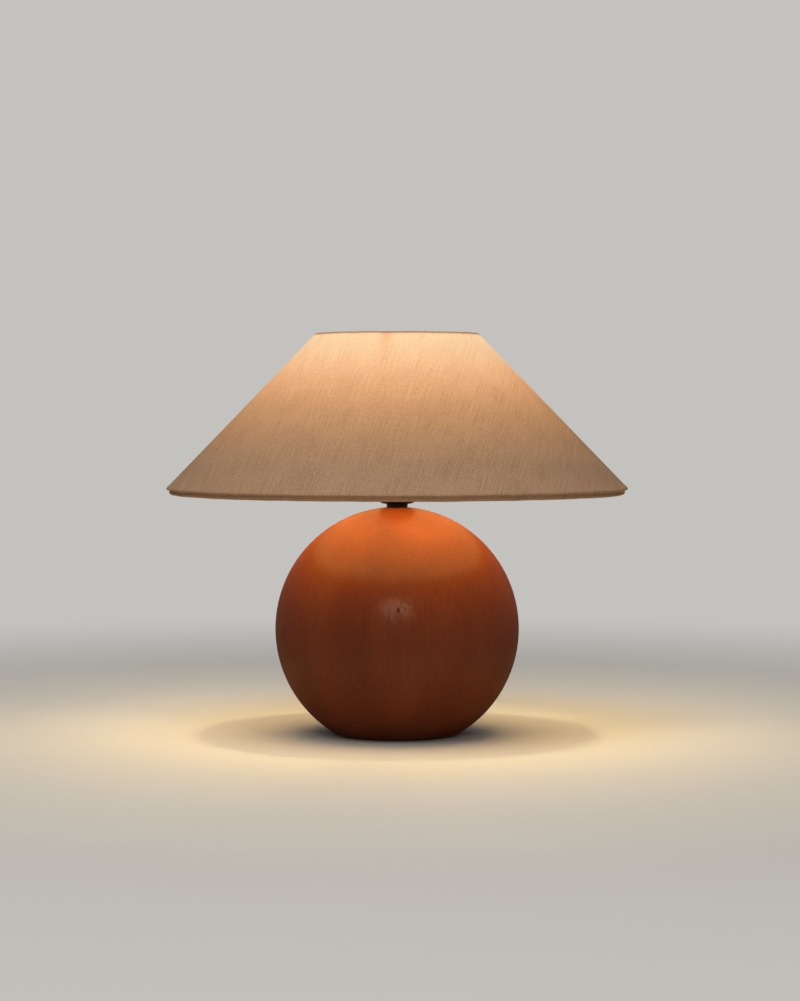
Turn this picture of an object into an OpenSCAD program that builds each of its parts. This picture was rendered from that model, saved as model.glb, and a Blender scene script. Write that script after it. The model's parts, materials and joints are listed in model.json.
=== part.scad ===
// Table lamp: a turned wooden ball, a switched screw lampholder and a linen cone shade.
// Millimetres, +Z up. The origin is the middle of the felt's underside, on the lamp's axis.
// The front of the lamp faces -Y. The flex inlet and the switch are at the back, +Y.

/* [Ball] */
// Diameter of the turned wooden ball
ball_d = 238; // [190:1:300]
// Diameter of the flat turned on the underside
foot_d = 124; // [100:1:150]
// Diameter of the flat seat turned on the top
seat_d = 24; // [22:1:40]
// Diameter of the recess in the underside
recess_d = 60; // [48:1:80]
// Depth of that recess, above the foot
recess_depth = 30; // [26:1:40]
// Thickness of the felt pad
felt_t = 2; // [1:0.5:4]
// Bare wood left round the felt pad
felt_margin = 4; // [1:0.5:8]

/* [Flex inlet] */
// Height of the inlet's axis above the foot
inlet_h = 15; // [11:0.5:18]
// Diameter of the hole through the bushing
bushing_bore_d = 7; // [5:0.5:8]
// Wall of the bushing
bushing_wall = 1.5; // [1:0.25:2]
// Length of the bushing's body behind its flange
bushing_len = 14; // [8:1:20]
// Width of the bushing's flange beyond its body
flange_w = 2; // [1:0.5:3]
// Thickness of the bushing's flange
flange_t = 2; // [1:0.5:3]
// Wood cut back round the flange
pocket_gap = 1; // [0.5:0.5:2]

/* [Tube and nut] */
// Outer diameter of the threaded tube
tube_d = 10; // [8:0.5:12]
// Wall of the threaded tube
tube_wall = 1.5; // [1:0.25:2]
// Free tube below the nut
tube_tail = 4; // [2:0.5:6]
// Outer diameter of the large washer
washer_d = 34; // [24:1:44]
// Thickness of the large washer
washer_t = 2; // [1:0.5:3]
// Outer diameter of the split spring washer
spring_d = 18; // [15:0.5:22]
// Thickness of the split spring washer
spring_t = 2.2; // [1.5:0.1:3]
// Gap where the spring washer is split
spring_split = 2; // [1:0.5:4]
// Width of the hexagon nut across its flats
nut_af = 17; // [15:0.5:22]
// Thickness of the hexagon nut
nut_t = 4; // [3:0.5:6]

/* [Lampholder] */
// Diameter of the cap's hub where it stands on the ball
hub_foot_d = 20.2; // [17:0.2:21]
// Diameter of the hub at its top
hub_top_d = 21.4; // [21.2:0.2:26]
// Height of the tapered hub
hub_h = 3.8; // [2:0.2:6]
// Outer diameter of the cap
cap_d = 40; // [37:0.5:46]
// Radius of the cap's rounded shoulder
shoulder_r = 8; // [6:0.5:9]
// Height of the cap
cap_h = 30; // [28:0.5:36]
// Wall of the cap
cap_wall = 2.4; // [1.8:0.1:3]
// Depth to which the tube screws into the cap
hub_thread = 9; // [7:0.5:10]
// Thickness of the cap's floor above the tube
cap_floor = 2; // [1.5:0.25:3]
// Diameter of the hub's locking screw
grub_d = 3; // [2.5:0.5:4]
// Outer diameter of the shell's thread
shell_d = 39; // [38:0.25:40]
// Wall of the shell
shell_wall = 2.2; // [1.8:0.1:2.6]
// Height of the shell above the cap
shell_h = 38; // [36:0.5:46]
// Depth of the spigot that joins shell and cap
spigot_h = 5; // [3:0.5:6]
// Wall of that spigot
spigot_wall = 1.6; // [1.2:0.1:2]
// Diameter of the collar that carries the shade
collar_d = 48; // [46:0.5:52]
// Thickness of the collar
collar_t = 2.5; // [2:0.25:4]
// Height of the collar above the cap
collar_h = 8; // [6:0.5:10]
// Thickness of the inward lip at the shell's mouth
lip_t = 2; // [1.5:0.25:3]
// Thickness of the insulating contact carrier
carrier_t = 10; // [8:0.5:11]
// Inner diameter of the brass screw shell
socket_d = 27; // [26.8:0.1:27.4]
// Thickness of the brass strip and sheet
brass_t = 0.5; // [0.4:0.1:0.6]
// Height of the spring tongue above the screw shell's floor
tongue_h = 3; // [2:0.25:4]

/* [Switch] */
// Height of the switch's axis above the ball
switch_h = 20; // [19.5:0.25:21]
// Diameter of the switch's shaft
shaft_d = 4; // [3:0.5:5]
// Wall of the brass bush round the shaft
bush_wall = 2; // [1.5:0.25:2.5]
// Width of the boss on the cap, beyond the bush
boss_w = 3; // [2:0.25:4]
// Distance that the boss stands out of the cap
boss_out = 2.4; // [1.5:0.1:4]
// Thickness of the bush's collar
bush_collar_t = 1.6; // [1:0.2:3]
// Diameter of the knob
knob_d = 14; // [11:0.5:16]
// Length of the knob
knob_l = 16; // [12:0.5:20]
// Number of flutes round the knob
knob_flutes = 12; // [8:1:16]
// Width across the flats of the square cam
cam_w = 8.5; // [7:0.25:9]
// Length of the cam
cam_l = 8; // [5:0.5:10]

/* [Shade ring] */
// Outer diameter of the threaded shade ring
ring_d = 51; // [48:0.5:53]
// Height of the shade ring
ring_h = 8; // [6:0.5:12]
// Number of grip grooves round the shade ring
ring_grooves = 24; // [16:1:36]
// Diameter of the tool that cuts each groove
groove_d = 3; // [2:0.25:3.5]

/* [Bulb] */
// Largest diameter of the glass
bulb_d = 60; // [45:1:65]
// Height of the glass ball's middle above the contact tip
bulb_middle_h = 76; // [70:0.5:82]
// Radius of the hollow flare below the ball
flare_r = 45; // [30:1:60]
// Diameter of the glass neck
neck_d = 28.4; // [28:0.1:30]
// Thickness of the glass
glass_t = 0.8; // [0.5:0.1:1.2]
// Outer diameter of the bulb's screw cap
screw_d = 26.2; // [25.8:0.1:26.4]
// Height of the top of the screw cap above the contact tip
screw_h = 26; // [25:0.5:28]
// Number of light filaments
filaments = 4; // [3:1:6]
// Length of a light filament
filament_l = 34; // [24:1:38]
// Diameter of the circle that the filaments stand on
filament_circle_d = 20; // [14:1:24]

/* [Shade] */
// Diameter over the wall's lower edge
shade_bottom_d = 450; // [360:1:560]
// Diameter over the wall's upper edge
shade_top_d = 158; // [140:1:220]
// Height from the lower edge to the upper one
shade_h = 151; // [145:1:260]
// Height of the lower edge above the ball's seat
shade_gap = 19; // [14:0.5:24]
// Diameter of the wire rings
wire_d = 4; // [3:0.25:5]
// Thickness of the linen cover
cover_t = 0.9; // [0.6:0.1:1.4]
// Thickness of the stiff liner
liner_t = 0.5; // [0.3:0.1:0.8]
// Distance from the wall's edge to a wire's middle, along the slant
wire_in = 2; // [1:0.25:4]
// Thickness of the linen tucked between a wire's hem and the liner
tuck_t = 1.9; // [1:0.1:3]
// Width of the seam at the back
seam_w = 10; // [6:1:16]
// Thickness that the seam adds
seam_t = 0.5; // [0.3:0.1:0.8]
// Outer diameter of the fitter ring
fitter_d = 55; // [53.5:0.5:62]
// Thickness of the fitter ring
fitter_t = 1.5; // [1:0.1:2]
// Diameter of a spider spoke
spoke_d = 3; // [2:0.25:3.5]
// Number of spokes
spokes = 3; // [3:1:4]
// Level run of a spoke before it turns up
spoke_run = 6; // [5:0.5:10]
// Angle of the first spoke, from -Y towards -X
spoke_turn = 7; // [0:1:50]

/* [Hidden] */
$fn = 96;

// Clearances: pieces that seat, pieces that turn or lift past each other, and layers of the shade
fit_gap = 0.05;
run_gap = 0.3;
layer_gap = 0.05;
// Overlap of cutting tools past the face that they cut
past = 1;

// Ball
ball_r = ball_d / 2;
ball_z = felt_t + sqrt(pow(ball_r, 2) - pow(foot_d / 2, 2));
seat_z = ball_z + sqrt(pow(ball_r, 2) - pow(seat_d / 2, 2));
recess_z = felt_t + recess_depth;

// Flex inlet: the flange is let into a pocket whose lower edge breaks out of the ball
inlet_z = felt_t + inlet_h;
bushing_d = bushing_bore_d + 2 * bushing_wall;
flange_d = bushing_d + 2 * flange_w;
pocket_d = flange_d + 2 * pocket_gap;
pocket_low_y = sqrt(pow(ball_r, 2) - pow(ball_z - inlet_z + pocket_d / 2, 2));
pocket_y = pocket_low_y - flange_t;

// Stack of washers and nut, hanging from the top of the recess
washer_z = recess_z - washer_t;
spring_z = washer_z - spring_t;
nut_z = spring_z - nut_t;
tube_low_z = nut_z - tube_tail;
tube_high_z = seat_z + hub_thread;

// Lampholder
cap_r = cap_d / 2;
cap_z = seat_z + cap_h;
shoulder_h = sqrt(pow(shoulder_r, 2) - pow(shoulder_r - cap_r + hub_top_d / 2, 2));
shoulder_z = seat_z + hub_h + round(1000 * shoulder_h) / 1000;
cap_floor_z = tube_high_z + cap_floor;
cap_in_r = cap_r - cap_wall;
grub_z = seat_z + hub_h + 0.8 * grub_d;
shell_r = shell_d / 2;
shell_in_r = shell_r - shell_wall;
shell_z = cap_z + shell_h;
spigot_r = cap_in_r - fit_gap;
spigot_in_r = spigot_r - spigot_wall;
carrier_r = shell_in_r - fit_gap;
carrier_z = cap_z + carrier_t;
socket_r = socket_d / 2;
socket_out_r = socket_r + brass_t;
socket_floor_z = carrier_z + brass_t;
socket_hole_r = 6;
lip_z = shell_z - lip_t;
tongue_z = carrier_z + tongue_h;
tongue_w = 6;
tongue_l = 10;
collar_z = cap_z + collar_h;
collar_top_z = collar_z + collar_t;

// Terminals hang from the carrier, on each side of the cam
terminal_l = 6;
terminal_w = 5.5;
terminal_h = 7;
terminal_screw_d = 3;
terminal_head_d = 4.6;
terminal_head_h = 1.6;
cam_reach = cam_w / sqrt(2);
blade_x = cam_reach + run_gap;
terminal_x = blade_x + brass_t;

// Switch, on an axis along +Y
switch_z = seat_z + switch_h;
bush_r = shaft_d / 2 + bush_wall;
boss_r = bush_r + boss_w;
boss_y = cap_r + boss_out;
bush_in_y = cap_in_r - past;
bush_collar_y = boss_y + bush_collar_t;
knob_y = bush_collar_y + run_gap;
knob_end_y = knob_y + knob_l;
knob_cover = 3;
shaft_end_y = knob_end_y - knob_cover;
flute_d = 2.4;
knob_round = 1.5;

// Shade, its rings and its spider
wire_r = wire_d / 2;
hem_r = wire_r + cover_t;
shade_z = seat_z + shade_gap;
low_edge = [shade_bottom_d / 2, shade_z];
high_edge = [shade_top_d / 2, shade_z + shade_h];
slant = high_edge - low_edge;
slant_l = norm(slant);
slant_angle = atan2(slant[1], slant[0]);
up_slant = slant / slant_l;
inwards = [-up_slant[1], up_slant[0]];
liner_depth = cover_t + layer_gap;
wire_at = [wire_in, liner_depth + liner_t + layer_gap + tuck_t + hem_r];
low_ring = low_edge + wire_at[0] * up_slant + wire_at[1] * inwards;
high_ring = high_edge - wire_at[0] * up_slant + wire_at[1] * inwards;
fitter_z = collar_top_z + run_gap;
fitter_top_z = fitter_z + fitter_t;
fitter_r = fitter_d / 2;
fitter_in_r = shell_r + 1;
spoke_z = fitter_z + fitter_t / 2;
spoke_corner = [fitter_r + spoke_run, spoke_z];
spoke_lean = high_ring - spoke_corner;
knuckle = 0.1;
spoke_top = high_ring - spoke_lean * ((wire_r + run_gap) / norm(spoke_lean));
spoke_step = 360 / spokes;
first_spoke = 270 - spoke_turn;
ring_z = fitter_top_z + run_gap;
ring_in_r = shell_r + run_gap;
ring_r = ring_d / 2;
ring_round = 1;

// Bulb
tip_z = tongue_z + run_gap;
bulb_r = bulb_d / 2;
neck_r = neck_d / 2;
bulb_middle_z = tip_z + bulb_middle_h;
flare_drop = sqrt(pow(bulb_r + flare_r, 2) - pow(neck_r + flare_r, 2));
neck_top_z = bulb_middle_z - flare_drop;
screw_r = screw_d / 2;
screw_top_z = tip_z + screw_h;
neck_h = neck_top_z - screw_top_z;
screw_wall = 0.4;
tip_r = 4.5;
tip_h = 1.6;
insulator_h = 4;
insulator_top_r = 9.5;
insulator_z = tip_z + tip_h;
screw_low_z = insulator_z + insulator_h;
screw_cone_h = 3;
plug_r = screw_r - screw_wall - fit_gap;
plug_h = 8;
stem_r = 3;
stem_flare_r = neck_r - glass_t - fit_gap;
stem_flare_h = 3;
stem_low_z = screw_top_z + glass_t;
filament_mid_z = bulb_middle_z - 4;
filament_d = 1.8;
lead_d = 0.8;
stem_top_z = filament_mid_z + filament_l / 2;

// A straight round bar between two points
module bar(from, to, d) {
    run = to - from;
    translate(from)
        rotate([0, acos(run[2] / norm(run)), atan2(run[1], run[0])])
            cylinder(h = norm(run), d = d);
}

// A flat ring that stands on the height z
module ring_plate(z, h, d_out, d_in) {
    translate([0, 0, z])
        difference() {
            cylinder(h = h, d = d_out);
            translate([0, 0, -past]) cylinder(h = h + 2 * past, d = d_in);
        }
}

// A solid disc between two heights
module post(z_low, z_high, d) {
    translate([0, 0, z_low]) cylinder(h = z_high - z_low, d = d);
}

// Lays what is drawn along +Z onto +Y, at the switch's axis
module on_switch_axis(y) {
    translate([0, y, switch_z]) rotate([-90, 0, 0]) children();
}

// Lays what is drawn along +Z onto +Y, at the inlet's axis
module on_inlet_axis(y) {
    translate([0, y, inlet_z]) rotate([-90, 0, 0]) children();
}

// Turned hardwood: through bore for the tube, recess for its nut, and the flex inlet at the back
module ball() {
    color("#9c5428")
    difference() {
        translate([0, 0, ball_z]) sphere(r = ball_r, $fn = 200);
        translate([-ball_r, -ball_r, felt_t - ball_r]) cube([ball_d, ball_d, ball_r]);
        translate([-ball_r, -ball_r, seat_z]) cube([ball_d, ball_d, ball_r]);
        post(0, seat_z + past, tube_d + 2 * run_gap);
        post(felt_t - past, recess_z, recess_d);
        on_inlet_axis(0) cylinder(h = ball_r, d = bushing_d + 2 * fit_gap);
        on_inlet_axis(pocket_y) cylinder(h = ball_r, d = pocket_d);
    }
}

module felt_pad() {
    color("#26302a") post(0, felt_t, foot_d - 2 * felt_margin);
}

// Flanged bushing, through which the flex would pass
module cord_bushing() {
    color("#1c1a19")
    difference() {
        union() {
            on_inlet_axis(pocket_y - bushing_len) cylinder(h = bushing_len, d = bushing_d);
            on_inlet_axis(pocket_y) cylinder(h = flange_t, d = flange_d);
        }
        on_inlet_axis(pocket_y - bushing_len - past)
            cylinder(h = bushing_len + flange_t + 2 * past, d = bushing_bore_d);
    }
}

module threaded_tube() {
    color("#b7ab8d")
    ring_plate(tube_low_z, tube_high_z - tube_low_z, tube_d, tube_d - 2 * tube_wall);
}

module bottom_washer() {
    color("#a9abad") ring_plate(washer_z, washer_t, washer_d, tube_d + 2 * run_gap);
}

module spring_washer() {
    color("#8f9193")
    difference() {
        ring_plate(spring_z, spring_t, spring_d, tube_d + 2 * run_gap);
        translate([0, -spring_split / 2, spring_z - past])
            cube([spring_d, spring_split, spring_t + 2 * past]);
    }
}

module bottom_nut() {
    color("#b7ab8d")
    difference() {
        translate([0, 0, nut_z]) cylinder(h = nut_t, d = nut_af / cos(30), $fn = 6);
        post(nut_z - past, spring_z + past, tube_d + 2 * fit_gap);
    }
}

// Outline of the cap: tapered hub, rounded shoulder and straight wall
module cap_outline() {
    translate([0, seat_z])
        polygon([[0, 0], [hub_foot_d / 2, 0], [hub_top_d / 2, hub_h], [0, hub_h]]);
    translate([0, seat_z + hub_h]) square([hub_top_d / 2, shoulder_z - seat_z - hub_h]);
    intersection() {
        translate([cap_r - shoulder_r, shoulder_z]) circle(shoulder_r);
        translate([0, seat_z + hub_h]) square([cap_r, shoulder_z - seat_z - hub_h]);
    }
    translate([0, shoulder_z]) square([cap_r, cap_z - shoulder_z]);
}

module lampholder_cap() {
    color("#17161a")
    difference() {
        union() {
            rotate_extrude() cap_outline();
            on_switch_axis(0) cylinder(h = boss_y, r = boss_r);
        }
        post(cap_floor_z, cap_z + past, 2 * cap_in_r);
        post(seat_z - past, tube_high_z, tube_d + 2 * fit_gap);
        post(seat_z, cap_floor_z + past, tube_d - 2 * tube_wall);
        on_switch_axis(0) cylinder(h = boss_y + past, r = bush_r + fit_gap);
        translate([0, 0, grub_z]) rotate([-90, 0, 0]) cylinder(h = cap_r, d = grub_d + 2 * fit_gap);
    }
}

// Headless screw that stops the cap turning on the tube
module grub_screw() {
    grub_in = tube_d / 2 + 2 * fit_gap;
    grub_l = hub_top_d / 2 - grub_in;
    slot_w = grub_d / 4;
    color("#a9abad")
    difference() {
        translate([0, grub_in, grub_z]) rotate([-90, 0, 0]) cylinder(h = grub_l, d = grub_d);
        translate([-grub_d, grub_in + grub_l - slot_w, grub_z - slot_w / 2])
            cube([2 * grub_d, grub_d, slot_w]);
    }
}

// Outer shell: spigot into the cap, shade collar, threaded barrel and inward lip
module lampholder_shell() {
    color("#17161a")
    rotate_extrude() {
        translate([spigot_in_r, cap_z - spigot_h]) square([spigot_wall, spigot_h]);
        difference() {
            translate([spigot_in_r, cap_z]) square([shell_r - spigot_in_r, shell_h]);
            translate([0, cap_z]) square([shell_in_r, shell_h - lip_t]);
            translate([0, lip_z - past]) square([socket_out_r + run_gap, lip_t + 2 * past]);
        }
        translate([shell_in_r, collar_z]) square([collar_d / 2 - shell_in_r, collar_t]);
    }
}

// Insulating puck that carries the brass parts, on the ledge that the spigot makes
module contact_carrier() {
    color("#d8d2c4")
    difference() {
        post(cap_z, carrier_z, 2 * carrier_r);
        for (side = [-1, 1])
            translate([side * (terminal_x + terminal_w / 2), 0, cap_z - past])
                cylinder(h = carrier_t / 2 + past, d = terminal_screw_d + 2 * fit_gap);
    }
}

// Drawn brass cup for the bulb's screw cap
module screw_shell() {
    color("#c9a24c")
    rotate_extrude()
    difference() {
        translate([socket_hole_r, carrier_z]) square([socket_out_r - socket_hole_r, lip_z - carrier_z]);
        translate([0, socket_floor_z]) square([socket_r, lip_z]);
    }
}

// Spring tongue that rises to the bulb's centre contact
module centre_contact() {
    bend = tongue_l / 2;
    color("#c9a24c")
    translate([-bend, tongue_w / 2, carrier_z])
        rotate([90, 0, 0])
            linear_extrude(tongue_w)
                polygon([
                    [0, 0], [bend / 2, 0], [tongue_l, tongue_h - brass_t],
                    [tongue_l, tongue_h], [bend / 2, brass_t], [0, brass_t]
                ]);
}

// One brass clamping block on each side of the cam
module terminals() {
    color("#c9a24c")
    for (side = [-1, 1])
        difference() {
            translate([side > 0 ? terminal_x : -terminal_x - terminal_w, -terminal_l / 2,
                       cap_z - terminal_h])
                cube([terminal_w, terminal_l, terminal_h]);
            translate([side * (terminal_x + terminal_w / 2), 0, cap_z - terminal_h - past])
                cylinder(h = terminal_h + 2 * past, d = terminal_screw_d + 2 * fit_gap);
        }
}

module terminal_screws() {
    slot = terminal_head_h / 2;
    color("#a9abad")
    for (side = [-1, 1])
        translate([side * (terminal_x + terminal_w / 2), 0, cap_z - terminal_h])
            difference() {
                union() {
                    cylinder(h = terminal_h + carrier_t / 2 - fit_gap, d = terminal_screw_d);
                    translate([0, 0, -terminal_head_h])
                        cylinder(h = terminal_head_h, d = terminal_head_d);
                }
                translate([-terminal_head_d, -slot / 2, -terminal_head_h - past])
                    cube([2 * terminal_head_d, slot, slot + past]);
            }
}

// Contact blade that the cam's corners wipe
module switch_blade() {
    blade_low_z = switch_z - cam_w / 2;
    color("#c9a24c")
    translate([blade_x, -terminal_l / 2, blade_low_z])
        cube([brass_t, terminal_l, cap_z - blade_low_z]);
}

module switch_bush() {
    color("#c9a24c")
    difference() {
        union() {
            on_switch_axis(bush_in_y) cylinder(h = boss_y - bush_in_y, r = bush_r);
            on_switch_axis(boss_y) cylinder(h = bush_collar_t, r = boss_r - past);
        }
        on_switch_axis(bush_in_y - past)
            cylinder(h = bush_collar_y - bush_in_y + 2 * past, d = shaft_d + 2 * fit_gap);
    }
}

module switch_shaft() {
    color("#a9abad") on_switch_axis(-cam_l / 2) cylinder(h = shaft_end_y + cam_l / 2, d = shaft_d);
}

// Square cam on the inner end of the shaft
module switch_cam() {
    color("#d8d2c4")
    difference() {
        on_switch_axis(-cam_l / 2)
            translate([-cam_w / 2, -cam_w / 2, 0]) cube([cam_w, cam_w, cam_l]);
        on_switch_axis(-cam_l / 2 - past) cylinder(h = cam_l + 2 * past, d = shaft_d + 2 * fit_gap);
    }
}

// Fluted knob with a rounded end
module switch_knob() {
    knob_r = knob_d / 2;
    color("#17161a")
    difference() {
        on_switch_axis(knob_y)
            rotate_extrude() {
                square([knob_r, knob_l - knob_round]);
                square([knob_r - knob_round, knob_l]);
                translate([knob_r - knob_round, knob_l - knob_round])
                    intersection() {
                        circle(knob_round, $fn = 48);
                        square(knob_round);
                    }
            }
        on_switch_axis(knob_y - past)
            cylinder(h = knob_l - knob_cover + past + fit_gap, d = shaft_d + 2 * fit_gap);
        on_switch_axis(knob_y - past)
            for (i = [0 : knob_flutes - 1])
                rotate(i * 360 / knob_flutes)
                    translate([knob_r + flute_d / 4, 0, 0])
                        cylinder(h = knob_l + 2 * past, d = flute_d);
    }
}

// Threaded ring that holds the shade's fitter down on the collar
module shade_ring() {
    color("#17161a")
    difference() {
        rotate_extrude()
            translate([0, ring_z]) {
                translate([ring_in_r, 0]) square([ring_r - ring_in_r, ring_h - ring_round]);
                translate([ring_in_r, 0]) square([ring_r - ring_round - ring_in_r, ring_h]);
                translate([ring_r - ring_round, ring_h - ring_round])
                    intersection() {
                        circle(ring_round, $fn = 48);
                        square(ring_round);
                    }
            }
        for (i = [0 : ring_grooves - 1])
            rotate(i * 360 / ring_grooves)
                translate([ring_r + groove_d / 4, 0, ring_z - past])
                    cylinder(h = ring_h + 2 * past, d = groove_d);
    }
}

module bulb_contact() {
    color("#b9b5aa")
    rotate_extrude()
        intersection() {
            translate([0, tip_z + tip_r]) circle(tip_r);
            translate([0, tip_z]) square([tip_r, tip_h]);
        }
}

module bulb_insulator() {
    color("#1d1b20")
    translate([0, 0, insulator_z]) cylinder(h = insulator_h, r1 = tip_r, r2 = insulator_top_r);
}

// Metal screw cap: a thin cup with a sloping floor
module bulb_cap() {
    cap_profile = [
        [insulator_top_r, screw_low_z], [screw_r, screw_low_z + screw_cone_h],
        [screw_r, screw_top_z], [screw_r - screw_wall, screw_top_z],
        [screw_r - screw_wall, screw_low_z + screw_cone_h],
        [insulator_top_r - screw_wall, screw_low_z + screw_wall], [0, screw_low_z + screw_wall],
        [0, screw_low_z]
    ];
    color("#c4c2bb") rotate_extrude() polygon(cap_profile);
}

// Half section of the glass ball, down to where the flare takes over, from the neck's top
module glass_ball_section() {
    intersection() {
        translate([0, flare_drop])
            difference() {
                circle(bulb_r);
                circle(bulb_r - glass_t);
            }
        polygon([
            [0, flare_drop], [neck_r + flare_r, 0],
            [neck_r + flare_r, flare_drop + bulb_d], [0, flare_drop + bulb_d]
        ]);
    }
}

// Half section of the hollow flare, tangent to the ball and to the neck
module glass_flare_section() {
    intersection() {
        translate([neck_r + flare_r, 0])
            difference() {
                circle(flare_r + glass_t);
                circle(flare_r);
            }
        polygon([[neck_r + flare_r, 0], [0, flare_drop], [0, 0]]);
    }
}

// Half section of the neck and its floor, with a plug that goes down into the screw cap
module glass_neck_section() {
    translate([neck_r - glass_t, -neck_h]) square([glass_t, neck_h]);
    translate([0, -neck_h]) square([neck_r, glass_t]);
    translate([0, -neck_h - plug_h]) square([plug_r, plug_h + glass_t / 2]);
}

// Blown opal glass
module bulb_glass() {
    color("#f6efe2")
    translate([0, 0, neck_top_z])
        union() {
            rotate_extrude() glass_ball_section();
            rotate_extrude() glass_flare_section();
            rotate_extrude() glass_neck_section();
        }
}

// Glass mount that carries the filaments
module bulb_stem() {
    color("#dfe4e2")
    union() {
        translate([0, 0, stem_low_z])
            cylinder(h = stem_flare_h, r1 = stem_flare_r, r2 = stem_r);
        post(stem_low_z, stem_top_z, 2 * stem_r);
    }
}

// Wires from the stem to both ends of every filament
module bulb_leads() {
    reach = filament_circle_d / 2;
    lead_high_z = stem_top_z + lead_d / 2;
    lead_low_z = filament_mid_z - filament_l / 2 - lead_d / 2;
    color("#b9b5aa")
    for (i = [0 : filaments - 1])
        rotate(i * 360 / filaments) {
            bar([stem_r, 0, lead_low_z], [reach + filament_d / 2, 0, lead_low_z], lead_d);
            bar([lead_d, 0, lead_high_z], [reach + filament_d / 2, 0, lead_high_z], lead_d);
        }
}

module bulb_filaments() {
    color("#f2c14e")
    for (i = [0 : filaments - 1])
        rotate(i * 360 / filaments)
            translate([filament_circle_d / 2, 0, filament_mid_z - filament_l / 2])
                cylinder(h = filament_l, d = filament_d);
}

// Flat ring that drops over the shell and rests on its collar
module fitter_ring() {
    color("#d9d6cd") ring_plate(fitter_z, fitter_t, fitter_d, 2 * fitter_in_r);
}

// One bent wire: level out of the fitter ring, then up to the top ring
module spoke() {
    corner = [spoke_corner[0], 0, spoke_corner[1]];
    bar([fitter_r, 0, spoke_z], corner, spoke_d);
    translate(corner) sphere(d = spoke_d + 2 * knuckle, $fn = 48);
    bar(corner, [spoke_top[0], 0, spoke_top[1]], spoke_d);
}

module spider_spokes() {
    color("#d9d6cd")
    for (i = [0 : spokes - 1])
        rotate(first_spoke + i * spoke_step) spoke();
}

module wire_ring(centre) {
    rotate_extrude($fn = 180) translate(centre) circle(wire_r, $fn = 48);
}

module top_ring() {
    color("#d9d6cd") wire_ring(high_ring);
}

module bottom_ring() {
    color("#d9d6cd") wire_ring(low_ring);
}

// Half section of the shade's wall: x runs up the slant from the lower edge, y points inwards
module on_slant() {
    translate(low_edge) rotate(slant_angle) children();
}

module at_both_edges() {
    on_slant() {
        children();
        translate([slant_l, 0]) mirror([1, 0]) children();
    }
}

// One layer of the wall, at a depth below the linen's outer face, drawn in at both ends
module layer(depth, thickness, ends) {
    translate([ends, depth]) square([slant_l - 2 * ends, thickness]);
}

// Rolled hem, from the wall's edge at the origin: the linen turns in under the liner's edge,
// goes round the wire and is tucked between the wire and the liner
module hem() {
    reach = norm(wire_at);
    lean = atan2(wire_at[1], wire_at[0]) + asin(hem_r / reach);
    touch = sqrt(pow(reach, 2) - pow(hem_r, 2)) * [cos(lean), sin(lean)];
    translate(wire_at) circle(hem_r, $fn = 64);
    polygon([[0, 0], touch, wire_at, [wire_at[0], 0]]);
}

module cover_section() {
    difference() {
        union() {
            on_slant() layer(0, cover_t, 0);
            at_both_edges() hem();
        }
        on_slant() layer(cover_t, liner_t + 2 * layer_gap, cover_t);
        at_both_edges() translate(wire_at) circle(wire_r + layer_gap, $fn = 64);
    }
}

module shade_liner() {
    color("#f1ead9")
    rotate_extrude($fn = 180) on_slant() layer(liner_depth, liner_t, liner_depth);
}

// Linen cover with its lapped seam at the back and a notch for each spoke
module shade_cover() {
    notch_from = high_ring - spoke_lean * (4 * hem_r / norm(spoke_lean));
    color("#d9c8ac")
    difference() {
        union() {
            rotate_extrude($fn = 180) cover_section();
            intersection() {
                rotate_extrude($fn = 180) on_slant() layer(-seam_t, seam_t, hem_r);
                translate([-seam_w / 2, 0, shade_z]) cube([seam_w, shade_bottom_d, shade_h]);
            }
        }
        for (i = [0 : spokes - 1])
            rotate(first_spoke + i * spoke_step)
                bar([notch_from[0], 0, notch_from[1]], [high_ring[0], 0, high_ring[1]],
                    spoke_d + 2 * run_gap);
    }
}

ball();
felt_pad();
cord_bushing();
threaded_tube();
bottom_washer();
spring_washer();
bottom_nut();
lampholder_cap();
grub_screw();
lampholder_shell();
contact_carrier();
screw_shell();
centre_contact();
terminals();
terminal_screws();
switch_blade();
switch_bush();
switch_shaft();
switch_cam();
switch_knob();
shade_ring();
bulb_contact();
bulb_insulator();
bulb_cap();
bulb_glass();
bulb_stem();
bulb_leads();
bulb_filaments();
fitter_ring();
spider_spokes();
top_ring();
bottom_ring();
shade_liner();
shade_cover();
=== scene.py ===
import json
import math

import bmesh
import bpy
import numpy as np
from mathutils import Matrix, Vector


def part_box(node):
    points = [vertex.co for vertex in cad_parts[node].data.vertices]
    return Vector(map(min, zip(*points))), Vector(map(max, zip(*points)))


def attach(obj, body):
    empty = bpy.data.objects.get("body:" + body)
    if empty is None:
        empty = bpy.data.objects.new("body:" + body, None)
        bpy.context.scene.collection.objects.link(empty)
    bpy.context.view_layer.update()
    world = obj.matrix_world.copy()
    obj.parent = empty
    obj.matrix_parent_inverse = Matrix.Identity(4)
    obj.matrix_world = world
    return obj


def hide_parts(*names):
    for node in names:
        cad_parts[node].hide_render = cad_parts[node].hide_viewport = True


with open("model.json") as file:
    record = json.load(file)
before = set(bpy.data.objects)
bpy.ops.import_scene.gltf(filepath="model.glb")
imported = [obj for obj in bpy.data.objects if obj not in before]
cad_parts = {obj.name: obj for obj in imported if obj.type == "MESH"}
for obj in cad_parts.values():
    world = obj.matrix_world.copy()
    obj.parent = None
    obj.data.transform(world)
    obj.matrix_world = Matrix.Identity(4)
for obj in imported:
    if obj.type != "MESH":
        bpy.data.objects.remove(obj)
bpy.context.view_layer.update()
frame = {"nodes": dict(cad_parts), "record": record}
mm = 0.001
samePlace = 1e-7  # metres within which points are merged
bpy.context.scene.view_settings.view_transform = "Standard"
print("frame loaded:", len(frame["nodes"]), "nodes")


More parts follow.
